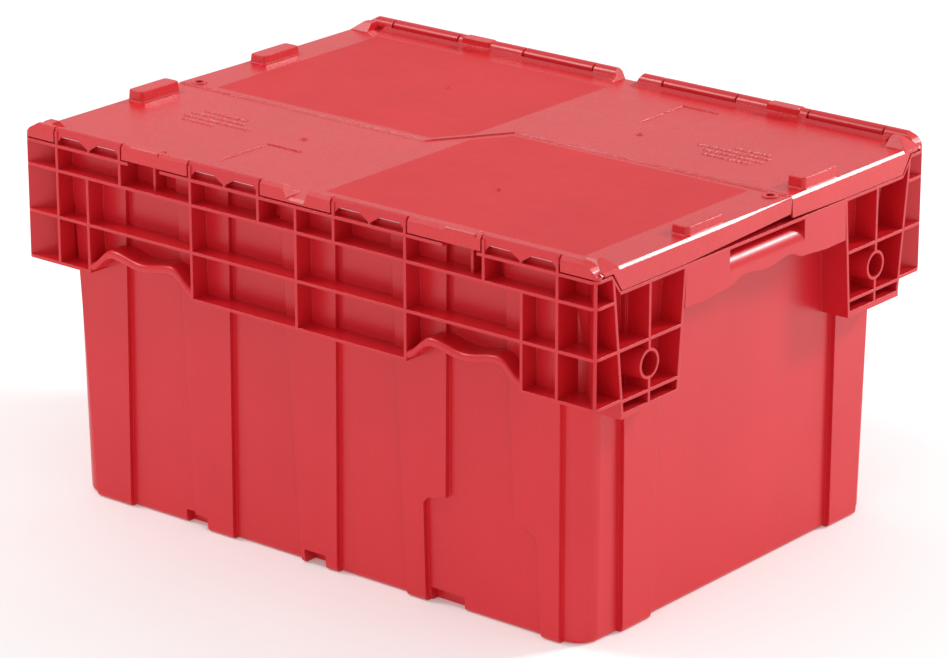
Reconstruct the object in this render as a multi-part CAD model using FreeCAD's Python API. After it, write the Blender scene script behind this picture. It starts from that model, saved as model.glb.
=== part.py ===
import FreeCAD, Part
import math
import os

# Attached lid tote, millimetres.  +X along the length, +Z up, origin at the centre of the base.
# The tote and each lid look the same after half a turn about Z, so most features are made
# once and turned.

LENGTH = 709.0
WIDTH = 523.2
RIM_Z = 371.5                 # top of the rim under the lids
HX = LENGTH / 2
HY = WIDTH / 2
CORNER_R = 7.0                # plan radius of the skirt and lid corners

WALL = 3.0
RIB = 3.0
FLOOR = 4.0
TUB_R = 24.0                  # plan radius of the tub's own corners
SUNK_BASE = (320.0, 231.0)    # half sizes of the sunk wall level at z = 0 and at the rim
SUNK_RIM = (325.5, 236.5)
BAND_BASE = (325.5, 236.5)    # half sizes of the raised bands
BAND_RIM = (331.0, 242.0)

RAIL_TOPS = (RIM_Z, 346.6, 298.8)
LOW_RAIL_TOP = 251.2
GRIP_IN = 133.5               # the finger grips span this |x| range
GRIP_OUT = 270.0
BRACKET_LOW = 231.0
BRACKET_OUT = 222.0           # |y| of a bracket's outer side at its foot
NOTCH_BACK = -220.5           # back and height of the notches in the foot of the long walls
NOTCH_HIGH = 14.0
SHELF_Z = 353.5               # rim level along the ends
NOTCH_IN = 225.0              # the end rim drops between these |y|
NOTCH_OUT = 238.0

PIVOT_Y = 257.0               # hinge axes at y = -/+ this
PIVOT_Z = 380.0
ROD_R = 2.0
ROD_HOLE_R = 2.06
BARREL_R = 8.2
FLANGE_Z = 384.5              # top of the flat outer face of the hinge flanges
BARREL_TOP = PIVOT_Z + BARREL_R
ROD_IN = 27.0
ROD_OUT = 333.0
WINDOWS = ((47.0, 133.5), (226.0, 310.5))
FLANGES = ((10.5, 43.5), (137.0, 222.5), (314.0, HX))

PANEL_TOP = 377.5
PANEL_T = 3.0
PANEL_Y = 248.5               # hinge-side edge of the panel, in the windows
SEAM_Y = 38.0
SEAM_X = 25.0
SEAM_GAP = 0.3
LEDGE = 7.0                   # reach of the lower ledge under the other lid
LUG_TOP = 388.6
LOW_LUG_TOP = 386.2
LUG_X = (330.0, 350.8)
EDGE_IN = 352.2               # the lid's end edges slope down from this |x|
FLANGE_LUGS = ((-212.0, -175.0), (181.0, 216.0))
EYELET = (337.0, 27.0, 4.5)
CORNER_X = 300.0              # the tub's walls are split from its corners here
CORNER_Y = 211.0
SCRAP = 300.0                 # cubic millimetres: smaller offcuts of the bracket ribs are dropped


def box(x0, x1, y0, y1, z0, z1):
    return Part.makeBox(x1 - x0, y1 - y0, z1 - z0, FreeCAD.Vector(x0, y0, z0))


def prism(points, axis, low, high):
    """A polygon in the plane across one axis, pushed from low to high along that axis."""
    def place(a, b, along):
        return FreeCAD.Vector(*{"x": (along, a, b), "y": (a, along, b), "z": (a, b, along)}[axis])
    loop = [place(a, b, low) for a, b in points]
    push = place(0, 0, high) - place(0, 0, low)
    return Part.Face(Part.makePolygon(loop + loop[:1])).extrude(push)


def cylinder(r, start, along, length):
    return Part.makeCylinder(r, length, FreeCAD.Vector(*start), FreeCAD.Vector(*along))


def turned(shape):
    copy = shape.copy()
    copy.rotate(FreeCAD.Vector(0, 0, 0), FreeCAD.Vector(0, 0, 1), 180)
    return copy


def flipped(shape):
    return shape.mirror(FreeCAD.Vector(0, 0, 0), FreeCAD.Vector(1, 0, 0))


def fused(shapes):
    first = shapes[0]
    return first.fuse(shapes[1:]).removeSplitter() if len(shapes) > 1 else first


def without(shape, others):
    """The shape with every other shape that comes near it cut away."""
    for other in others:
        if shape.BoundBox.intersect(other.BoundBox):
            shape = shape.cut(other)
    return shape


def largest(shape):
    return max(shape.Solids, key=lambda solid: solid.Volume)


def rounded_wire(hx, hy, r, z):
    d = r * (1 - math.sqrt(0.5))
    edges = []
    for k in range(4):
        sx, sy = ((1, 1), (-1, 1), (-1, -1), (1, -1))[k]
        nx, ny = ((-1, 1), (-1, -1), (1, -1), (1, 1))[k]
        ends = [(sx * hx, sy * (hy - r)), (sx * (hx - r), sy * hy)]
        if k % 2:
            ends.reverse()
        a, b = [FreeCAD.Vector(p[0], p[1], z) for p in ends]
        mid = FreeCAD.Vector(sx * (hx - d), sy * (hy - d), z)
        edges.append(Part.Arc(a, mid, b).toShape())
        after = (nx * (hx - r), ny * hy) if k % 2 == 0 else (nx * hx, ny * (hy - r))
        edges.append(Part.makeLine(b, FreeCAD.Vector(after[0], after[1], z)))
    return Part.Wire(edges)


def frustum(base, top, r, z0, z1):
    """A tapered block between two rounded rectangles, given at z = 0 and at the rim."""
    def at(z):
        t = z / RIM_Z
        return rounded_wire(base[0] + t * (top[0] - base[0]), base[1] + t * (top[1] - base[1]), r, z)
    return Part.makeLoft([at(z0), at(z1)], True, True)


def shrink(pair, by):
    return (pair[0] - by, pair[1] - by)


# Raised bands of the front wall in (x, z), and of the right-hand end wall in (y, z).
FRONT_BANDS = (
    ((-293.2, 0), (-247.4, 0), (-236.8, RIM_Z), (-311.8, RIM_Z)),
    ((-158.5, 0), (-109.6, 0), (-102.2, RIM_Z), (-170.6, RIM_Z)),
    ((-20.0, 0), (24.9, 0), (32.6, RIM_Z), (-37.6, RIM_Z)),
    ((113.2, 0), (136.0, 0), (134.8, 101), (140, 107), (162, 112), (167.1, RIM_Z), (99.2, RIM_Z)),
    ((274.7, 0), (295.3, 0), (299.3, RIM_Z), (234.0, RIM_Z), (244.5, 109), (266, 103), (270.5, 97)),
)
END_BANDS = (
    ((-178.0, 0), (-135.0, 0), (-129.0, RIM_Z), (-188.0, RIM_Z)),
    ((158.0, 0), (204.0, 0), (212.0, RIM_Z), (151.0, RIM_Z)),
)


def narrowed(points, by):
    """The band's outline with its sides moved in, for the inside of the wall."""
    mid = sum(p[0] for p in points if p[1] == 0) / 2
    return [(a - by if a > mid else a + by, b) for a, b in points]


def bands(block, by):
    out = []
    for points in FRONT_BANDS:
        front = prism(narrowed(points, by), "y", -HY, -200)
        out += [front, turned(front)]
    for points in END_BANDS:
        end = prism(narrowed(points, by), "x", 280, HX)
        out += [end, turned(end)]
    return [shape.common(block) for shape in out]


def foot(base, top, r, height):
    """The bottom of a tapered block, its lower edge rounded off in three ruled steps."""
    steps = ((0.0, 0.8), (0.2, 0.32), (0.5, 0.1), (1.0, 0.0))
    wires = []
    for rise, inset in steps:
        t = rise * height / RIM_Z
        by = inset * height
        hx, hy = [low + t * (high - low) - by for low, high in zip(base, top)]
        wires.append(rounded_wire(hx, hy, r - by, rise * height))
    return Part.makeLoft(wires, True, True)


def tub_outer():
    body = fused([foot(SUNK_BASE, SUNK_RIM, TUB_R, 5.0), frustum(SUNK_BASE, SUNK_RIM, TUB_R, 5.0, RIM_Z)])
    raised = fused([foot(BAND_BASE, BAND_RIM, TUB_R, 5.0), frustum(BAND_BASE, BAND_RIM, TUB_R, 5.0, RIM_Z)])
    return fused([body] + bands(raised, 0))


def tub_inner():
    body = frustum(shrink(SUNK_BASE, WALL), shrink(SUNK_RIM, WALL), TUB_R - WALL, FLOOR, RIM_Z)
    raised = frustum(shrink(BAND_BASE, WALL), shrink(BAND_RIM, WALL), TUB_R - WALL, FLOOR, RIM_Z)
    return fused([body] + bands(raised, WALL))


def stacking_notches(by, depth, height):
    """Short blocks along the foot of the long walls, where it steps over the lugs of the tote below."""
    spans = ((-176, -143), (-16, 11), (138, 179.5))
    front = [box(x0 - by, x1 + by, -HY, depth, 0, height) for x0, x1 in spans]
    return front + [turned(shape) for shape in front]


OUTER = tub_outer()
ENVELOPE = Part.Face(rounded_wire(HX, HY, CORNER_R, 0)).extrude(FreeCAD.Vector(0, 0, 400))


def make_tub():
    inner = tub_inner()
    for step in stacking_notches(WALL, NOTCH_BACK + WALL, NOTCH_HIGH + WALL):
        inner = inner.cut(step)
    shell = OUTER.cut(inner)
    for notch in stacking_notches(0, NOTCH_BACK, NOTCH_HIGH):
        shell = shell.cut(notch)
    front = shell.common(box(-CORNER_X, CORNER_X, -HY, 0, FLOOR, RIM_Z))
    right = shell.common(box(0, HX, -CORNER_Y, CORNER_Y, FLOOR, RIM_Z))
    near = shell.common(box(CORNER_X, HX, -HY, -CORNER_Y, FLOOR, RIM_Z))
    far = shell.common(box(CORNER_X, HX, CORNER_Y, HY, FLOOR, RIM_Z))
    return {
        "tub_floor": shell.common(box(-HX, HX, -HY, HY, 0, FLOOR)),
        "tub_wall_front": front,
        "tub_wall_rear": turned(front),
        "tub_wall_right": right,
        "tub_wall_left": turned(right),
        "tub_corner_front_right": near,
        "tub_corner_rear_left": turned(near),
        "tub_corner_rear_right": far,
        "tub_corner_front_left": turned(far),
    }


def bracket_side(z):
    """|y| of the outer side of the end brackets at height z."""
    return BRACKET_OUT + (NOTCH_OUT - BRACKET_OUT) * (z - BRACKET_LOW) / (RIM_Z - BRACKET_LOW)


def front_slab(x0, x1, top):
    """A horizontal rib of the front skirt, reaching the wall and round both corners to the brackets."""
    low = top - RIB
    parts = [box(x0, x1, -HY, -NOTCH_OUT, low, top)]
    if top < RIM_Z:
        parts += [box(a, b, -NOTCH_OUT - 1, -bracket_side(low), low, top)
                  for a, b in ((300, HX), (-HX, -300)) if x0 <= a and b <= x1]
    if x0 < SUNK_RIM[0] and x1 > -SUNK_RIM[0]:
        parts.append(box(max(x0, -325), min(x1, 325), -NOTCH_OUT, -200, low, top))
    return fused(parts).common(ENVELOPE).cut(OUTER)


def front_rails():
    rails = [front_slab(-HX, HX, top) for top in RAIL_TOPS]
    for x0, x1 in FLANGE_LUGS:
        rails[0] = rails[0].cut(box(x0 - 2.5, x1 + 2.5, -HY - 1, -249.6, RIM_Z - RIB - 1, RIM_Z + 1))
    for x0, x1 in ((-HX, -GRIP_OUT), (-GRIP_IN, GRIP_IN), (GRIP_OUT, HX)):
        rails.append(front_slab(x0, x1, LOW_RAIL_TOP))
    return rails


def front_posts(rails):
    low = LOW_RAIL_TOP - RIB
    plates = []
    for x in (-310.5, -GRIP_IN, 0, GRIP_IN, 310.5):
        plates.append(box(x - RIB / 2, x + RIB / 2, -HY, -200, low, RIM_Z))
    for x in (-GRIP_OUT, GRIP_OUT):
        plates.append(box(x - RIB / 2, x + RIB / 2, -HY, -200, low, RAIL_TOPS[1]))
    for x in (-226, -47, 47, 226):
        plates.append(box(x - RIB / 2, x + RIB / 2, -HY, -200, RAIL_TOPS[1], RIM_Z))
    for x in (-188.5, 205.5):
        plates.append(box(x - RIB / 2, x + RIB / 2, -252, -200, RAIL_TOPS[1], RIM_Z))
    for s in (-1, 1):
        diagonal = [(s * (HX + 1.1), -HY + 1.1), (s * (HX - 1.1), -HY - 1.1),
                    (s * 315, -224), (s * 317.2, -221.8)]
        plates.append(prism(diagonal, "z", low, RIM_Z).common(ENVELOPE))
    posts = []
    for plate in plates:
        posts += without(plate, [OUTER] + rails).Solids
    return posts


def wave_line(x):
    """Height of the lower edge of a finger grip."""
    return 250.0 + lower_wave((x - (GRIP_IN + GRIP_OUT) / 2) / ((GRIP_OUT - GRIP_IN) / 2), 18.0, 12.0, 0.58)


def lower_wave(t, hump, dip, where):
    """An M: zero at t = -1 and 1, hump high at t = +-where, dip high at 0."""
    a = abs(t)
    if a < where:
        return dip + (hump - dip) * (1 - math.cos(math.pi * a / where)) / 2
    return hump * (1 + math.cos(math.pi * (a - where) / (1 - where))) / 2


def grip():
    """One wavy rolled lip that closes the bottom of a finger pocket, at +x on the front."""
    steps = 24
    thick = 9.0
    r = 4.0
    nose = []
    for k in range(5):
        a = math.radians(90 + 22.5 * k)
        nose.append((r + r * math.cos(a), thick - r + r * math.sin(a)))
    for k in range(5):
        a = math.radians(180 + 22.5 * k)
        nose.append((r + r * math.cos(a), r + r * math.sin(a)))
    section = [(40.0, thick)] + nose + [(40.0, 0.0)]
    wires = []
    for k in range(steps + 1):
        x = GRIP_IN + RIB / 2 + (GRIP_OUT - GRIP_IN - RIB) * k / steps
        loop = [FreeCAD.Vector(x, -HY + depth, wave_line(x) + rise) for depth, rise in section]
        wires.append(Part.makePolygon(loop + loop[:1]))
    lip = Part.makeLoft(wires, True, True)
    return lip.cut(OUTER)


def knuckle(x0, x1):
    """Tub side of one hinge window: a round-backed bar over gussets, drilled for the rod."""
    y_out = -260.4
    y_in = -250.0
    bar_z = 380.2
    mid = (x0 + x1) / 2
    h = RIB / 2
    bar = cylinder(BARREL_R, (x0 - h, -PIVOT_Y, PIVOT_Z), (1, 0, 0), x1 - x0 + RIB)
    parts = [bar.common(box(x0 - h, x1 + h, y_out, y_in, bar_z, BARREL_TOP + 1))]
    parts += [box(x - h, x + h, -HY, y_in, RIM_Z, FLANGE_Z) for x in (x0, x1)]
    parts.append(box(x0, x1, y_in - RIB, y_in, RIM_Z, bar_z))
    vee = [(mid - h, RIM_Z), (mid + h, RIM_Z), (mid + h, 373.5),
           (mid + 12.5, bar_z), (mid - 12.5, bar_z), (mid - h, 373.5)]
    parts.append(prism(vee, "y", y_out, y_in))
    parts.append(prism([(x0, 373.0), (x0 + 6.5, bar_z), (x0, bar_z)], "y", y_out, y_in))
    parts.append(prism([(x1, 373.0), (x1, bar_z), (x1 - 6.5, bar_z)], "y", y_out, y_in))
    hole = cylinder(ROD_HOLE_R, (x0 - 5, -PIVOT_Y, PIVOT_Z), (1, 0, 0), x1 - x0 + 10)
    return fused(parts).cut(hole)


def end_bracket(s, taken):
    """Ribs of one hollow bracket on the right-hand end, s = -1 near the front, 1 near the rear."""
    x0 = 300.0
    x1 = HX
    outer_top, outer_low = NOTCH_OUT, BRACKET_OUT
    inner_top, inner_low = 127.0, 137.0

    def edge(top, low, z):
        return low + (top - low) * (z - BRACKET_LOW) / (RIM_Z - BRACKET_LOW)
    rails = []
    for low, high in ((295.8, 298.8), (246.5, 249.5), (BRACKET_LOW, BRACKET_LOW + 6)):
        y_out = edge(outer_top, outer_low, high)
        y_in = edge(inner_top, inner_low, high)
        rails.append(box(x0, x1, min(s * y_in, s * y_out), max(s * y_in, s * y_out), low, high))
    slope = [(s * NOTCH_OUT, RIM_Z), (s * NOTCH_IN, SHELF_Z), (s * NOTCH_IN, SHELF_Z - RIB),
             (s * NOTCH_OUT, RIM_Z - RIB - 1.4)]
    rails.append(prism(slope, "x", x0, x1))
    outer = [(s * outer_low, BRACKET_LOW), (s * (outer_low - RIB), BRACKET_LOW),
             (s * (outer_top - RIB), RIM_Z), (s * outer_top, RIM_Z)]
    inner = [(s * inner_low, BRACKET_LOW), (s * (inner_low + RIB), BRACKET_LOW),
             (s * (inner_top + RIB), SHELF_Z - RIB), (s * inner_top, SHELF_Z - RIB)]
    boss = Part.makeCone(19.0, 14.5, 40, FreeCAD.Vector(HX - 40, s * 181.5, 273.5), FreeCAD.Vector(1, 0, 0))
    hollow = Part.makeCone(16.2, 11.8, 40, FreeCAD.Vector(HX - 40, s * 181.5, 273.5), FreeCAD.Vector(1, 0, 0))
    mid = box(x0, x1, s * 181.5 - RIB / 2, s * 181.5 + RIB / 2, BRACKET_LOW, SHELF_Z - RIB)
    above = prism([(s * (NOTCH_OUT + 1), RIM_Z), (s * NOTCH_OUT, RIM_Z), (s * NOTCH_IN, SHELF_Z),
                   (s * NOTCH_IN, RIM_Z + 1), (s * (NOTCH_OUT + 1), RIM_Z + 1)], "x", x0, x1)
    rails = [without(rail, [OUTER] + taken) for rail in rails]
    tube = boss.cut(hollow).cut(OUTER)
    posts = []
    for plate in (prism(outer, "x", x0, x1), prism(inner, "x", x0, x1), mid.cut(boss)):
        posts += without(plate, [OUTER, above] + taken + rails).Solids
    rails = [solid for rail in rails for solid in rail.Solids if solid.Volume > SCRAP]
    posts = [solid for solid in posts if solid.Volume > SCRAP]
    return rails, posts, tube


def end_panels():
    """Smooth plates at each side of the end handle, with the handle's side walls."""
    out = []
    for s in (-1, 1):
        plate = [(s * 60, 314.5), (s * 95, 311.5), (s * 128.9, 312),
                 (s * 126.9, SHELF_Z - RIB), (s * 60, SHELF_Z - RIB)]
        face = prism(plate, "x", HX - RIB, HX)
        y0, y1 = sorted((s * 60, s * 63))
        side = box(300, HX - RIB, y0, y1, 316, SHELF_Z - RIB).cut(OUTER)
        out += [face, side]
    return out


def end_handle():
    """The rolled grip plate of the end handle, hollow below for the fingers."""
    roll = 17.0
    cx, cz = HX - roll, 327.0
    outline = [(HX, 300.0), (HX, cz)]
    for k in range(1, 12):
        a = math.radians(90.0 * k / 12)
        outline.append((cx + roll * math.cos(a), cz + roll * math.sin(a)))
    outline += [(cx, cz + roll), (300, cz + roll), (300, cz + roll - RIB), (cx, cz + roll - RIB)]
    inner = roll - RIB
    for k in range(11, 0, -1):
        a = math.radians(90.0 * k / 12)
        outline.append((cx + inner * math.cos(a), cz + inner * math.sin(a)))
    outline += [(HX - RIB, cz), (HX - RIB, 300.0)]
    shell = prism(outline, "y", -60, 60).cut(OUTER)
    steps = 24
    edge = [(-60 + 5 * k, 314.0 + lower_wave((-60 + 5 * k) / 60, 7.5, 3.0, 0.6)) for k in range(steps + 1)]
    under = prism([(-61, 290)] + [(-61, 314.0)] + edge + [(61, 314.0), (61, 290)], "x", 300, HX + 5)
    return shell.cut(under)


def seam(y_shift):
    """The jogged line between the two lids in plan."""
    line = [(-HX, -SEAM_Y), (-SEAM_X, -SEAM_Y), (SEAM_X, SEAM_Y), (HX, SEAM_Y)]
    return [(x, y + y_shift) for x, y in line]


def end_slope(seam_y=None):
    """The wedge taken off the top edge of a lid's end, running out to nothing at the lapped corner."""
    high = PANEL_TOP + 1
    fade = -54.0
    drop = 2.6

    def section(y, x, z):
        wedge = ((x, high), (HX + 1, high), (HX + 1, z), (HX, z), (x, PANEL_TOP))
        loop = [FreeCAD.Vector(a, y, b) for a, b in wedge]
        return Part.makePolygon(loop + loop[:1])
    full = [section(y, EDGE_IN, PANEL_TOP - drop) for y in (-HY, fade if seam_y else 0)]
    wedge = Part.makeLoft(full, True, True)
    if seam_y:
        taper = [section(fade, EDGE_IN, PANEL_TOP - drop), section(seam_y, HX - 0.3, PANEL_TOP - 0.3)]
        wedge = wedge.fuse(Part.makeLoft(taper, True, True))
    return wedge


def lid_panel():
    edge = seam(-SEAM_GAP)
    low = PANEL_TOP - PANEL_T
    plan = [(-HX, -PANEL_Y)] + edge + [(HX, -PANEL_Y)]
    panel = prism(plan, "z", low, PANEL_TOP)
    strips = [box(x0, x1, -254, -PANEL_Y, low, PANEL_TOP) for x0, x1 in
              ((-HX, -314), (-222.5, -137), (-43.5, 43.5), (137, 222.5), (314, HX))]
    back = [(-HX + 4, -54), (-22, -54), (-4, -27)]
    ledge = back + [(-4, -SEAM_GAP - 6 + LEDGE), (-SEAM_X + 3, -SEAM_Y + LEDGE - 0.6),
                    (-HX + 4, -SEAM_Y + LEDGE)]
    lip = prism(ledge, "z", 372.2, low - 0.3)
    step = prism(back + [(-4, -SEAM_GAP - 6.5), edge[1], (-HX + 4, edge[0][1])], "z", low - 0.31, low + 0.01)
    label = box(-140, -95, -218, -142, PANEL_TOP - 1.0, PANEL_TOP + 1)
    ex, ey, er = EYELET
    ring = cylinder(er + 3.5, (ex, ey, low), (0, 0, 1), PANEL_T + 1.2)
    shape = fused([panel, lip, step, ring] + strips).cut(end_slope(seam_y=SEAM_Y)).cut(flipped(end_slope()))
    shape = shape.cut(label)
    shape = shape.cut(cylinder(er, (ex, ey, low - 5), (0, 0, 1), 20))
    return shape.common(ENVELOPE)


def lid_flanges():
    """Hinge-side flange sections, rounded over the rods, and the fillets that join them along the panel."""
    fillet = [(-PANEL_Y, PANEL_TOP), (-PANEL_Y, 381.3), (-239, PANEL_TOP)]
    profile = [(-HY, 370), (-HY, FLANGE_Z), (-HY + 3, BARREL_TOP), (-248, BARREL_TOP), (-248, 370)]
    panel_edge = box(-HX, HX, -254, -240, PANEL_TOP - PANEL_T, PANEL_TOP)
    notch = prism([(-10, 374.5), (10, 374.5), (17.5, 389.5), (-17.5, 389.5)], "y", -HY - 1, -230)
    fall = [(336, 389), (341, 385.8), (346, 383), (350, 379.2), (352.6, 374.5),
            (HX + 1, 374.5), (HX + 1, 389)]
    beyond = prism(fall, "y", -HY - 1, -230)
    holes = [cylinder(ROD_HOLE_R, (x, -PIVOT_Y, PIVOT_Z), (1, 0, 0), ROD_OUT - ROD_IN + 1)
             for x in (ROD_IN - 0.5, -ROD_OUT - 0.5)]
    bars = []
    joins = []
    for s in (-1, 1):
        for x0, x1 in FLANGES:
            a, b = sorted((s * x0, s * x1))
            bar = cylinder(BARREL_R, (a, -PIVOT_Y, PIVOT_Z), (1, 0, 0), b - a)
            bar = bar.common(prism(profile, "x", a, b))
            c, d = sorted((s * x0, s * min(x1, 322)))
            parts = [bar, box(c, d, -252, -PANEL_Y, PANEL_TOP, 381.3), prism(fillet, "x", c, d)]
            for low, high in FLANGE_LUGS:
                if a < low and high < b:
                    lug = box(low, high, -HY, -248.5, 378, BARREL_TOP)
                    top_edges = [e for e in lug.Edges if e.BoundBox.ZMin > BARREL_TOP - 0.01]
                    parts.append(lug.makeChamfer(0.7, top_edges))
            bars.append(fused(parts).cut(notch).cut(beyond).cut(flipped(beyond)))
        for x0, x1 in ((FLANGES[0][1], FLANGES[1][0]), (FLANGES[1][1], FLANGES[2][0])):
            joins.append(prism(fillet, "x", *sorted((s * x0, s * x1))))
    spout = [(-HY, 370), (-HY, 375), (-HY + 3.5, PANEL_TOP), (-PANEL_Y, PANEL_TOP), (-PANEL_Y, 370)]
    half = FLANGES[0][0]
    low = cylinder(BARREL_R, (-half, -PIVOT_Y, PIVOT_Z), (1, 0, 0), 2 * half)
    low = low.common(prism(spout, "x", -half, half))
    joins.append(low)
    taken = [panel_edge] + holes
    return [[without(piece.common(ENVELOPE), taken) for piece in group] for group in (bars, joins)]


def lid_end_skirt(s):
    """The part of one lid that hangs over the end, s = 1 on the side where this lid laps on top."""
    low = PANEL_TOP - PANEL_T
    seam_y = s * SEAM_Y - SEAM_GAP
    seam_low = 361.0 if s > 0 else 356.5
    outline = [(-236.4, low), (-236.4, 373.3), (-223.7, SHELF_Z + 0.9), (-130, SHELF_Z + 0.9),
               (seam_y - 1.4, seam_low), (seam_y, low)]
    skirt = prism(outline, "x", HX - RIB, HX)
    corner = box(HX - RIB, HX, -249, -236.4, 373.0, low)
    whole = fused([skirt, corner]).common(ENVELOPE)
    return whole if s > 0 else flipped(whole)


def end_lug(y0, y1, top):
    """A stacking lug on the right-hand end: flared foot, slightly drawn-in sides and a softened top."""
    x0, x1 = LUG_X
    levels = ((PANEL_TOP, -1.4), (PANEL_TOP + 0.5, -0.5), (PANEL_TOP + 1.6, 0.0),
              (top - 1.3, 0.5), (top - 0.4, 0.8), (top, 1.6))
    wires = []
    for z, by in levels:
        wire = rounded_wire((x1 - x0) / 2 - by, (y1 - y0) / 2 - by, 4.0, z)
        wire.translate(FreeCAD.Vector((x0 + x1) / 2, (y0 + y1) / 2, 0))
        wires.append(wire)
    return Part.makeLoft(wires, True, True)


def lid_lugs(taken):
    """Stacking lugs that keep the tote above in place, at the ends and in the corners."""
    across = [(330, 374), (331, LOW_LUG_TOP), (341.5, LOW_LUG_TOP), (HX, 376.4), (HX, 374)]
    along = [(-249, 374), (-252.5, PANEL_TOP), (-243.8, LOW_LUG_TOP), (-236, LOW_LUG_TOP), (-228, PANEL_TOP),
             (-228, 374)]
    corner = prism(across, "y", -260, -220).common(prism(along, "x", 320, HX))
    corners = [without(shape, taken) for shape in (corner, flipped(corner))]
    ends = [end_lug(-120.5, -64, LOW_LUG_TOP), flipped(end_lug(-118.5, -62.5, LUG_TOP))]
    return ends + [largest(c) for c in corners]


def rod(s):
    x0 = ROD_IN if s > 0 else -ROD_OUT
    return cylinder(ROD_R, (x0, -PIVOT_Y, PIVOT_Z), (1, 0, 0), ROD_OUT - ROD_IN)


def build():
    nodes = make_tub()
    rails = front_rails()
    posts = front_posts(rails)
    nodes["front_skirt_rails"] = Part.makeCompound(rails)
    nodes["front_skirt_posts"] = Part.makeCompound(posts)
    nodes["rear_skirt_rails"] = turned(nodes["front_skirt_rails"])
    nodes["rear_skirt_posts"] = turned(nodes["front_skirt_posts"])

    right_grip = grip()
    left_grip = flipped(right_grip).cut(OUTER)
    nodes["front_grip_right"] = right_grip
    nodes["front_grip_left"] = left_grip
    nodes["rear_grip_left"] = turned(right_grip)
    nodes["rear_grip_right"] = turned(left_grip)

    knuckles = []
    for x0, x1 in WINDOWS:
        piece = knuckle(x0, x1)
        knuckles += [piece, flipped(piece)]
    nodes["front_knuckles"] = Part.makeCompound(knuckles)
    nodes["rear_knuckles"] = turned(nodes["front_knuckles"])

    shelf = box(300, HX, -NOTCH_IN, NOTCH_IN, SHELF_Z - RIB, SHELF_Z).cut(OUTER)
    near_rails, near_posts, near_boss = end_bracket(-1, rails + posts)
    far_rails, far_posts, far_boss = end_bracket(1, [turned(shape) for shape in rails + posts])
    right = {
        "shelf": shelf,
        "bracket_rails": Part.makeCompound(near_rails + far_rails),
        "bracket_posts": Part.makeCompound(near_posts + far_posts),
        "bosses": Part.makeCompound([near_boss, far_boss]),
        "panels": Part.makeCompound(end_panels()),
        "handle": end_handle(),
    }
    for name, shape in right.items():
        nodes["right_" + name] = shape
        nodes["left_" + name] = turned(shape)

    for side, s in (("right", 1), ("left", -1)):
        nodes["front_rod_" + side] = rod(s)
    nodes["rear_rod_left"] = turned(nodes["front_rod_right"])
    nodes["rear_rod_right"] = turned(nodes["front_rod_left"])

    panel = lid_panel()
    flanges, joins = lid_flanges()
    skirts = [lid_end_skirt(1), lid_end_skirt(-1)]
    lid = {
        "panel": panel,
        "flanges": Part.makeCompound(flanges),
        "flange_joins": Part.makeCompound(joins),
        "end_skirts": Part.makeCompound(skirts),
        "lugs": Part.makeCompound(lid_lugs([panel] + flanges + joins + skirts)),
    }
    for name, shape in lid.items():
        nodes["front_lid_" + name] = shape
        nodes["rear_lid_" + name] = turned(shape)
    return nodes


os.makedirs("parts", exist_ok=True)
for name, shape in build().items():
    shape.exportStep("parts/%s.step" % name)
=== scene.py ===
import math
import random

import bmesh
import bpy
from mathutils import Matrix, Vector


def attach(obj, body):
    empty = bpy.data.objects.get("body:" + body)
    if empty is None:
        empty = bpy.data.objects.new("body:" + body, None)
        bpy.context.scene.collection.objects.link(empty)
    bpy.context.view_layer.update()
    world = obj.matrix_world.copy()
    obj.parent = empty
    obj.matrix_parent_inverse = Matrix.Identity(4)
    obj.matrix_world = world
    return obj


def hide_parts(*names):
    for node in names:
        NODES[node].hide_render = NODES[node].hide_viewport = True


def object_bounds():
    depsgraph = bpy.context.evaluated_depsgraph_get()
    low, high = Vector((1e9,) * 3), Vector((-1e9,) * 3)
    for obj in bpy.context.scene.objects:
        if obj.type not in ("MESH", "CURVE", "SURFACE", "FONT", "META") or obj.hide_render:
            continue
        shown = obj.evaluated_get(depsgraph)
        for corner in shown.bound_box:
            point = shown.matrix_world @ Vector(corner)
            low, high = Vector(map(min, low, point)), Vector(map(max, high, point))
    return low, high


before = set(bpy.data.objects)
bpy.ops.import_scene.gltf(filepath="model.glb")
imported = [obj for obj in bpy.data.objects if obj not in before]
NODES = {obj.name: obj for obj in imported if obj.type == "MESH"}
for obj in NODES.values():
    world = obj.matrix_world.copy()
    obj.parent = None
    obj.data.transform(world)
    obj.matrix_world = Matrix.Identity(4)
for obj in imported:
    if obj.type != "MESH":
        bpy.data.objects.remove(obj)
cad_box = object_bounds()
MM = 0.001
WELD = 2e-6                   # corners of one CAD node nearer than this are one corner, in metres
GROW = 1e-5                   # how far the copies of the CAD nodes are grown, in metres
MOST_SHELL = 2.0              # the most that a sharp corner moves, in steps of GROW
OVER = MOST_SHELL * GROW      # the most that a grown copy stands past the CAD box, in metres
SAME_PLACE = 3e-5             # corners nearer than this share their shading, in metres
HAIR = 8e-5                   # faces with a mean width below this are hair-thin, in metres
COPLANAR = math.radians(1.0)  # faces that turn less than this are one flat
CREASE = math.radians(28)     # edges that turn more than this stay sharp
LEAST_RADIUS = 0.06           # a patch that bends on a larger radius than this, in metres, is flat
NO_AREA = 1e-12               # keeps a patch with no area from dividing by zero
APART = 4.0                   # the angle given for a face with no normal, more than a half turn
LEAST_MITRE = 0.4             # limits how far a ridge is stretched at a bend
RING_SIDES = 32
RING_SLOPE = 0.3              # how far a ring's sides lean in, in millimetres


# ---------------------------------------------------------------- helpers

def link(obj):
    bpy.context.scene.collection.objects.link(obj)
    return obj


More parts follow.
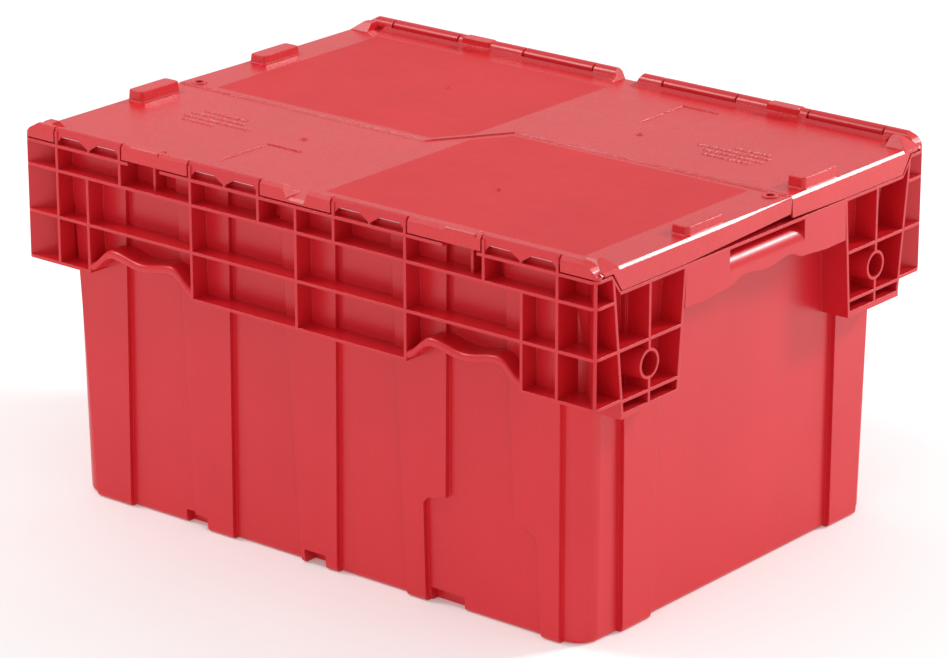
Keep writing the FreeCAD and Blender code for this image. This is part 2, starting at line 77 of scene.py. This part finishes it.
def grown(node):
    """A copy of a CAD node grown by a hair, so that touching nodes overlap and can be united."""
    bm = bmesh.new()
    bm.from_mesh(NODES[node].data)
    bmesh.ops.remove_doubles(bm, verts=bm.verts, dist=WELD)
    bmesh.ops.recalc_face_normals(bm, faces=bm.faces)
    bm.normal_update()
    moves = [(v, v.normal * min(MOST_SHELL, v.calc_shell_factor()) * GROW) for v in bm.verts]
    for v, move in moves:
        v.co += move
    mesh = bpy.data.meshes.new(node + "_copy")
    bm.to_mesh(mesh)
    bm.free()
    return link(bpy.data.objects.new(node + "_copy", mesh))


def drop_voids(mesh):
    """Keeps the largest connected surface; the others are small hollows that a union leaves inside."""
    bm = bmesh.new()
    bm.from_mesh(mesh)
    seen = set()
    islands = []
    for start in bm.verts:
        if start in seen:
            continue
        seen.add(start)
        island = [start]
        for vert in island:
            for edge in vert.link_edges:
                other = edge.other_vert(vert)
                if other not in seen:
                    seen.add(other)
                    island.append(other)
        islands.append(island)
    islands.sort(key=len)
    bmesh.ops.delete(bm, geom=[v for island in islands[:-1] for v in island], context="VERTS")
    bm.to_mesh(mesh)
    bm.free()


def turn_between(a, b):
    """The angle between two faces' normals."""
    return a.normal.angle(b.normal, APART)


def flat_patches(bm):
    """Groups the faces that lie in one plane, the largest faces first. Gives each face its patch, and
    each patch's normal, area and how much it bends at its edges (1 / metres)."""
    patch_of = {}
    patches = []
    for seed in sorted(bm.faces, key=lambda f: -f.calc_area()):
        if seed in patch_of:
            continue
        patch_of[seed] = len(patches)
        members = [seed]
        for face in members:
            for edge in face.edges:
                for other in edge.link_faces:
                    if other not in patch_of and turn_between(other, seed) < COPLANAR:
                        patch_of[other] = len(patches)
                        members.append(other)
        patches.append(members)
    facts = []
    for k, members in enumerate(patches):
        area = sum(f.calc_area() for f in members)
        normal = sum((f.normal * f.calc_area() for f in members), Vector())
        bend = 0.0
        for face in members:
            for edge in face.edges:
                for other in edge.link_faces:
                    turn = turn_between(other, face)
                    if patch_of[other] != k and turn < CREASE and broad(other):
                        bend += edge.calc_length() * turn / 2
        facts.append((normal.normalized(), area, bend / max(area, NO_AREA)))
    return patch_of, facts


def broad(face):
    """False for the hair-thin faces that a union leaves, whose own normals mean nothing."""
    return face.calc_area() > HAIR * max(e.calc_length() for e in face.edges)


def largest(facts):
    """The patch with the most area."""
    return max(facts, key=lambda fact: fact[1])


def shade(mesh):
    """Sets the normals: a face of a flat keeps its own, a strip of a rounding turns smoothly into the
    flat that it meets, and a hair-thin face takes the normal of its largest neighbour."""
    bm = bmesh.new()
    bm.from_mesh(mesh)
    bm.normal_update()
    patch_of, facts = flat_patches(bm)
    flat_bend = 1 / LEAST_RADIUS
    twins = bmesh.ops.find_doubles(bm, verts=bm.verts, dist=SAME_PLACE)["targetmap"]
    around = {}
    for face in bm.faces:
        if broad(face):
            for vert in face.verts:
                around.setdefault(twins.get(vert, vert), []).append(face)
    normals = []
    for face in bm.faces:
        own, area, bend = facts[patch_of[face]]
        hair = not broad(face)
        for vert in face.verts:
            here = around.get(twins.get(vert, vert), [])
            if hair and here:
                normals.append(largest(facts[patch_of[f]] for f in here)[0])
                continue
            if bend < flat_bend:
                normals.append(own)
                continue
            near = sorted({patch_of[f] for f in here if turn_between(f, face) < CREASE})
            flats = [facts[k] for k in near if facts[k][2] < flat_bend and facts[k][1] > area]
            if flats:
                normals.append(largest(flats)[0])
            else:
                total = sum((facts[k][0] * facts[k][1] for k in near), own * area)
                normals.append(total.normalized())
    bm.free()
    mesh.shade_smooth()
    mesh.edges.foreach_set("use_edge_sharp", [True] * len(mesh.edges))
    mesh.normals_split_custom_set(normals)


def united(name, objects):
    """One mesh out of many touching ones, fitted back inside the CAD box."""
    base = objects[0]
    others = bpy.data.collections.new(name + "_others")
    bpy.context.scene.collection.children.link(others)
    for obj in objects[1:]:
        others.objects.link(obj)
    cut = base.modifiers.new("unite", "BOOLEAN")
    cut.operation = "UNION"
    cut.operand_type = "COLLECTION"
    cut.collection = others
    cut.solver = "MANIFOLD"
    graph = bpy.context.evaluated_depsgraph_get()
    mesh = bpy.data.meshes.new_from_object(base.evaluated_get(graph))
    for obj in objects:
        bpy.data.objects.remove(obj)
    bpy.data.collections.remove(others)
    for vert in mesh.vertices:
        vert.co = [low + (c - low + OVER) * (high - low) / (high - low + 2 * OVER)
                   for c, low, high in zip(vert.co, *cad_box)]
    drop_voids(mesh)
    shade(mesh)
    mesh.name = name
    return link(bpy.data.objects.new(name, mesh))


def moulding(name, body, nodes, extras, material):
    """One moulding of the real object: the visible piece that stands for its CAD nodes."""
    piece = united(name, [grown(node) for node in nodes] + extras)
    piece.data.materials.clear()
    piece.data.materials.append(material)
    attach(piece, body)
    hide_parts(*nodes)


def closed(name, bm):
    """An object made from a closed bmesh, with its faces turned outwards."""
    mesh = bpy.data.meshes.new(name)
    bmesh.ops.recalc_face_normals(bm, faces=bm.faces)
    bm.to_mesh(mesh)
    bm.free()
    return link(bpy.data.objects.new(name, mesh))


def placed(bm, x, y, z):
    """A vertex at a place given in millimetres."""
    return bm.verts.new((x * MM, y * MM, z * MM))


def ridge(name, points, profile):
    """A small bar with a given cross-section (across, up) swept along a flat path, all in millimetres."""
    bm = bmesh.new()
    path = [Vector(p) for p in points]
    rings = []
    for k, p in enumerate(path):
        before = (p - path[k - 1]).normalized() if k else None
        after = (path[k + 1] - p).normalized() if k + 1 < len(path) else None
        along = ((before or after) + (after or before)).normalized()
        side = Vector((along.y, -along.x, 0.0))
        stretch = 1.0 / max(LEAST_MITRE, along.dot(after or before))
        rings.append([placed(bm, *(p + side * a * stretch + Vector((0, 0, up)))) for a, up in profile])
    count = len(profile)
    for low, high in zip(rings, rings[1:]):
        for k in range(count):
            j = (k + 1) % count
            bm.faces.new((low[k], low[j], high[j], high[k]))
    bm.faces.new(rings[0])
    bm.faces.new(reversed(rings[-1]))
    return closed(name, bm)


def ring(name, centre, inner, outer, low, high):
    """A flat moulded ring with sloped sides, in millimetres."""
    bm = bmesh.new()
    cx, cy, _ = centre
    loops = []
    for r, z in ((inner, low), (outer, low), (outer - RING_SLOPE, high), (inner + RING_SLOPE, high)):
        turns = [math.tau * k / RING_SIDES for k in range(RING_SIDES)]
        loops.append([placed(bm, cx + r * math.cos(a), cy + r * math.sin(a), z) for a in turns])
    for a, b in zip(loops, loops[1:] + loops[:1]):
        for i in range(RING_SIDES):
            j = (i + 1) % RING_SIDES
            bm.faces.new((a[i], a[j], b[j], b[i]))
    return closed(name, bm)


def half_turn(points):
    """The same points on the other half of the tote, which is the first turned about the vertical."""
    return [(-x, -y, z) for x, y, z in points]


# ---------------------------------------------------------------- materials

def new_material(name):
    mat = bpy.data.materials.new(name)
    mat.use_nodes = True
    tree = mat.node_tree
    shader = tree.nodes["Principled BSDF"]
    return mat, tree, shader


class Nodes:
    """Short calls for building a node tree."""

    def __init__(self, tree):
        self.tree = tree

    def add(self, kind, **settings):
        node = self.tree.nodes.new(kind)
        for key, value in settings.items():
            setattr(node, key, value)
        return node

    def wire(self, source, target):
        self.tree.links.new(source, target)

    def noise(self, vector, scale, detail=3.0, rough=0.5):
        node = self.add("ShaderNodeTexNoise")
        node.inputs["Scale"].default_value = scale
        node.inputs["Detail"].default_value = detail
        node.inputs["Roughness"].default_value = rough
        self.wire(vector, node.inputs["Vector"])
        return node.outputs["Fac"]

    def stretch(self, vector, scale):
        node = self.add("ShaderNodeMapping")
        node.inputs["Scale"].default_value = scale
        self.wire(vector, node.inputs["Vector"])
        return node.outputs["Vector"]

    def remap(self, value, a, b, c, d):
        node = self.add("ShaderNodeMapRange")
        for k, v in enumerate((a, b, c, d)):
            node.inputs[k + 1].default_value = v
        self.wire(value, node.inputs[0])
        return node.outputs[0]

    def math(self, op, a, b):
        node = self.add("ShaderNodeMath", operation=op)
        for k, v in enumerate((a, b)):
            if isinstance(v, (int, float)):
                node.inputs[k].default_value = v
            else:
                self.wire(v, node.inputs[k])
        return node.outputs[0]

    def mix(self, fac, a, b):
        node = self.add("ShaderNodeMix", data_type="RGBA")
        for socket, v in ((node.inputs["Factor"], fac), (node.inputs[6], a), (node.inputs[7], b)):
            if isinstance(v, (int, float)):
                socket.default_value = v
            elif isinstance(v, tuple):
                socket.default_value = v + (1.0,)
            else:
                self.wire(v, socket)
        return node.outputs[2]

    def bump(self, height, distance, strength=1.0, normal=None):
        node = self.add("ShaderNodeBump")
        node.inputs["Strength"].default_value = strength
        node.inputs["Distance"].default_value = distance
        self.wire(height, node.inputs["Height"])
        if normal is not None:
            self.wire(normal, node.inputs["Normal"])
        return node.outputs["Normal"]


EDGE_RADIUS = 0.0010          # moulded edges look this round, in metres
SPARK_ROUGHER = 0.34          # how much rougher the spark-textured field is than the smooth plastic


def plastic(name, deep, light, rough, fields=None):
    """Injection moulded polypropylene: slight colour mottling, fine grain, soft edges painted paler as a
    painted highlight.
    fields is the side (1 or -1) of a lid, whose panel has a spark-textured field."""
    mat, tree, shader = new_material(name)
    n = Nodes(tree)
    place = n.add("ShaderNodeTexCoord").outputs["Object"]
    cloud = n.noise(place, 6.0, 4.0, 0.55)
    streak = n.noise(n.stretch(place, (30.0, 30.0, 3.0)), 1.0, 4.0, 0.6)
    blend = n.math("ADD", n.math("MULTIPLY", cloud, 0.7), n.math("MULTIPLY", streak, 0.3))
    mottle = n.remap(blend, 0.3, 0.7, 0.0, 1.0)
    colour = n.mix(mottle, deep, light)
    speck = n.remap(n.noise(place, 420.0, 2.0, 0.7), 0.35, 0.7, 0.0, 0.16)
    colour = n.mix(speck, colour, tuple(c * 0.72 for c in deep))
    soft = n.add("ShaderNodeBevel", samples=4)
    soft.inputs["Radius"].default_value = EDGE_RADIUS
    geometry = n.add("ShaderNodeNewGeometry")
    turn = n.add("ShaderNodeVectorMath", operation="DOT_PRODUCT")
    n.wire(soft.outputs["Normal"], turn.inputs[0])
    n.wire(geometry.outputs["Normal"], turn.inputs[1])
    edge = n.remap(turn.outputs["Value"], 0.985, 0.88, 0.0, 1.0)
    # painted highlight: every edge found from the bevel normal is painted paler, in uneven strength
    edge_highlight = n.math("MULTIPLY", edge, n.remap(n.noise(place, 90.0, 5.0, 0.65), 0.38, 0.62, 0.10, 0.45))
    colour = n.mix(edge_highlight, colour, tuple(min(1.0, c * 1.15 + 0.06) for c in light))
    smooth = n.remap(n.noise(place, 55.0, 5.0, 0.6), 0.3, 0.7, rough - 0.025, rough + 0.035)
    grain_height = n.noise(place, 1500.0, 2.0, 0.6)
    ripple = n.bump(n.noise(place, 16.0, 2.0, 0.5), 0.0005, 0.07, soft.outputs["Normal"])
    if fields is None:
        n.wire(colour, shader.inputs["Base Color"])
        n.wire(smooth, shader.inputs["Roughness"])
        n.wire(n.bump(grain_height, 0.00005, 0.45, ripple), shader.inputs["Normal"])
        return mat
    mask = field_mask(n, place, geometry, fields)
    # painted shade: the textured field's colour is painted a little darker, standing in for the weaker
    # sheen of its rough texture
    darker = n.mix(mottle, tuple(c * 0.93 for c in deep), tuple(c * 0.95 for c in light))
    colour = n.mix(mask, colour, darker)
    n.wire(colour, shader.inputs["Base Color"])
    n.wire(n.math("ADD", smooth, n.math("MULTIPLY", mask, SPARK_ROUGHER)), shader.inputs["Roughness"])
    spark = n.math("MULTIPLY", n.noise(place, 900.0, 3.0, 0.7), mask)
    height = n.math("ADD", n.math("MULTIPLY", grain_height, 0.3), n.math("MULTIPLY", spark, 1.6))
    n.wire(n.bump(height, 0.00016, 0.6, ripple), shader.inputs["Normal"])
    return mat


SEAM_JOG = ((-25.0, -38.0), (25.0, 38.0))       # the ends of the slanted part of the seam, in millimetres
FIELD = {"left": 0.005, "right": 0.311, "front": 0.223, "back": 0.028, "jog": 0.009}


def field_mask(n, place, geometry, side):
    """1 inside the textured field of a lid's top face, with a crisp edge that follows the seam. FIELD
    holds the field's edges, in metres, and its distance from the slanted part of the seam."""
    split = n.add("ShaderNodeSeparateXYZ")
    n.wire(place, split.inputs[0])
    x = n.math("MULTIPLY", split.outputs["X"], float(side))
    y = n.math("MULTIPLY", split.outputs["Y"], float(side))
    jog = (Vector(SEAM_JOG[1]) - Vector(SEAM_JOG[0])).normalized()
    across = n.math("SUBTRACT", n.math("MULTIPLY", x, jog.y), n.math("MULTIPLY", y, jog.x))
    gaps = (n.math("SUBTRACT", x, FIELD["left"]), n.math("SUBTRACT", FIELD["right"], x),
            n.math("ADD", y, FIELD["front"]), n.math("SUBTRACT", FIELD["back"], y),
            n.math("SUBTRACT", across, FIELD["jog"]))
    nearest = gaps[0]
    for gap in gaps[1:]:
        nearest = n.math("MINIMUM", nearest, gap)
    facing = n.add("ShaderNodeSeparateXYZ")
    n.wire(geometry.outputs["True Normal"], facing.inputs[0])
    up = n.remap(facing.outputs["Z"], 0.9, 0.99, 0.0, 1.0)
    return n.math("MULTIPLY", n.remap(nearest, -0.0004, 0.0004, 0.0, 1.0), up)


def steel():
    """Zinc plated wire with fine lines along its length."""
    mat, tree, shader = new_material("drawn_wire")
    n = Nodes(tree)
    place = n.add("ShaderNodeTexCoord").outputs["Object"]
    draw = n.noise(n.stretch(place, (3.0, 900.0, 900.0)), 1.0, 3.0, 0.6)
    tone = n.remap(draw, 0.3, 0.7, 0.0, 1.0)
    n.wire(n.mix(tone, (0.62, 0.60, 0.60), (0.80, 0.78, 0.78)), shader.inputs["Base Color"])
    n.wire(n.remap(draw, 0.3, 0.7, 0.14, 0.26), shader.inputs["Roughness"])
    n.wire(n.bump(draw, 0.00004, 0.6), shader.inputs["Normal"])
    shader.inputs["Metallic"].default_value = 1.0
    return mat


TUB = plastic("tub_red", (0.60, 0.010, 0.018), (0.68, 0.015, 0.024), 0.32)
LID_DEEP = (0.62, 0.016, 0.022)
LID_LIGHT = (0.70, 0.022, 0.028)
LIDS = {"front": plastic("front_lid_red", LID_DEEP, LID_LIGHT, 0.27, 1),
        "rear": plastic("rear_lid_red", LID_DEEP, LID_LIGHT, 0.27, -1)}
STEEL = steel()


# ---------------------------------------------------------------- the tote

rods = sorted(name for name in NODES if "_rod_" in name)
lid_nodes = {side: sorted(n for n in NODES if n.startswith(side + "_lid_")) for side in ("front", "rear")}
tub_nodes = sorted(n for n in NODES if "_lid_" not in n and n not in rods)

# The marks of the front lid, in millimetres. Profiles are (across, up) from the panel's top face.
PANEL = 377.5                 # top face of the lid panels
SINK = 0.4                    # how deep the marks are rooted in the panel
LIP_PROFILE = ((-1.1, -1.0), (1.1, -1.0), (1.1, 0.35), (0.7, 0.8), (-0.7, 0.8), (-1.1, 0.35))
LIP_LINE = ((-350.0, -39.8, PANEL), (-26.1, -39.8, PANEL), (23.9, 36.2, PANEL), (350.0, 36.2, PANEL))
DASH_PROFILE = ((-2.9, -SINK), (2.9, -SINK), (2.6, 0.8), (-2.6, 0.8))
DASH_ROWS = ((-262, -206), (-270, -200), (-270, -186), (-262, -222))
DASH_FIRST_Y = -98.0
DASH_PITCH = 11.0
DASH_LENGTHS = (1.8, 4.6)
DASH_GAPS = (1.2, 2.2)
DASH_SEED = 5
GATES = ((-122.0, -110.0), (128.0, -118.0))
GATE_RING = (2.4, 4.4, PANEL - SINK, PANEL + 0.6)      # inner and outer radius, bottom and top
GATE_PIP = (0.4, 1.3, PANEL - SINK, PANEL + 0.3)


def dash_rows():
    """The ends of each dash, in rows of uneven dashes that stand in for moulded lettering."""
    place = random.Random(DASH_SEED)
    dashes = []
    for row, (start, stop) in enumerate(DASH_ROWS):
        x = start
        y = DASH_FIRST_Y - DASH_PITCH * row
        while x < stop:
            wide = place.uniform(*DASH_LENGTHS)
            dashes.append([(x, y, PANEL), (min(x + wide, stop), y, PANEL)])
            x += wide + place.uniform(*DASH_GAPS)
    return dashes


def lid_details(side):
    """Moulded marks of one lid: a lip along the seam, gate rings and rows of plain raised dashes."""
    turn = half_turn if side == "rear" else list
    out = [ridge(side + "_lip", turn(LIP_LINE), LIP_PROFILE)]
    for k, points in enumerate(dash_rows()):
        out.append(ridge("%s_dash_%d" % (side, k), turn(points), DASH_PROFILE))
    for k, (x, y) in enumerate(GATES):
        centre = turn([(x, y, 0.0)])[0]
        out.append(ring("%s_gate_%d" % (side, k), centre, *GATE_RING))
        out.append(ring("%s_pip_%d" % (side, k), centre, *GATE_PIP))
    return out


moulding("tub_moulding", "tub", tub_nodes, [], TUB)
for side in ("front", "rear"):
    moulding(side + "_lid_moulding", side + "_lid", lid_nodes[side], lid_details(side),
             LIDS[side])
for name in rods:
    NODES[name].data.materials.clear()
    NODES[name].data.materials.append(STEEL)


# ---------------------------------------------------------------- studio

def softbox(name, place, size, power):
    lamp = bpy.data.lights.new(name, "AREA")
    lamp.shape = "RECTANGLE"
    lamp.size, lamp.size_y = size
    lamp.energy = power
    obj = link(bpy.data.objects.new(name, lamp))
    obj.location = place
    obj.rotation_mode = "QUATERNION"
    obj.rotation_quaternion = (Vector(AIM) - Vector(place)).to_track_quat("-Z", "Y")


FLOOR_HALF = 12.0             # half the floor's width, in metres
FLOOR_GAP = 0.0002            # the floor lies this far below the base
AIM = (0.0, 0.0, 0.25)        # the lights point here


def floor():
    """A plain pale sheet of paper that glows a little, so that it stays white beside the red."""
    bm = bmesh.new()
    bmesh.ops.create_grid(bm, x_segments=1, y_segments=1, size=FLOOR_HALF)
    mesh = bpy.data.meshes.new("floor")
    bm.to_mesh(mesh)
    bm.free()
    mat, tree, shader = new_material("floor_paper")
    n = Nodes(tree)
    place = n.add("ShaderNodeTexCoord").outputs["Object"]
    tone = n.remap(n.noise(place, 3.0, 3.0, 0.5), 0.3, 0.7, 0.0, 1.0)
    n.wire(n.mix(tone, (0.93, 0.93, 0.93), (0.96, 0.96, 0.96)), shader.inputs["Base Color"])
    shader.inputs["Roughness"].default_value = 0.9
    shader.inputs["Specular IOR Level"].default_value = 0.1
    shader.inputs["Emission Color"].default_value = (1.0, 1.0, 1.0, 1.0)
    shader.inputs["Emission Strength"].default_value = 0.12
    mesh.materials.append(mat)
    obj = link(bpy.data.objects.new("floor", mesh))
    obj.location.z = -FLOOR_GAP


floor()
world = bpy.data.worlds.new("studio")
world.use_nodes = True
world.node_tree.nodes["Background"].inputs["Color"].default_value = (1.0, 1.0, 1.0, 1.0)
world.node_tree.nodes["Background"].inputs["Strength"].default_value = 0.64
bpy.context.scene.world = world
softbox("key", (1.78, 2.75, 2.16), (0.6, 0.5), 74)
softbox("right_fill", (4.2, 0.6, 1.0), (2.2, 1.8), 14)
softbox("top", (-1.5, -0.8, 2.2), (0.6, 0.6), 20)
softbox("front_fill", (0.4, -4.2, 1.2), (2.6, 1.8), 24)

CAMERA_PLACE = (2.4876, -3.0492, 1.5590)
CAMERA_AIM = (0.00593, -0.00376, 0.1810)
camera = bpy.data.cameras.new("camera")
camera.sensor_width = 36.0
camera.lens = 159.47
camera.clip_end = 100.0
cam = link(bpy.data.objects.new("camera", camera))
cam.location = CAMERA_PLACE
cam.rotation_mode = "QUATERNION"
cam.rotation_quaternion = (Vector(CAMERA_AIM) - cam.location).to_track_quat("-Z", "Y")
bpy.context.scene.camera = cam
bpy.context.scene.view_settings.view_transform = "Standard"
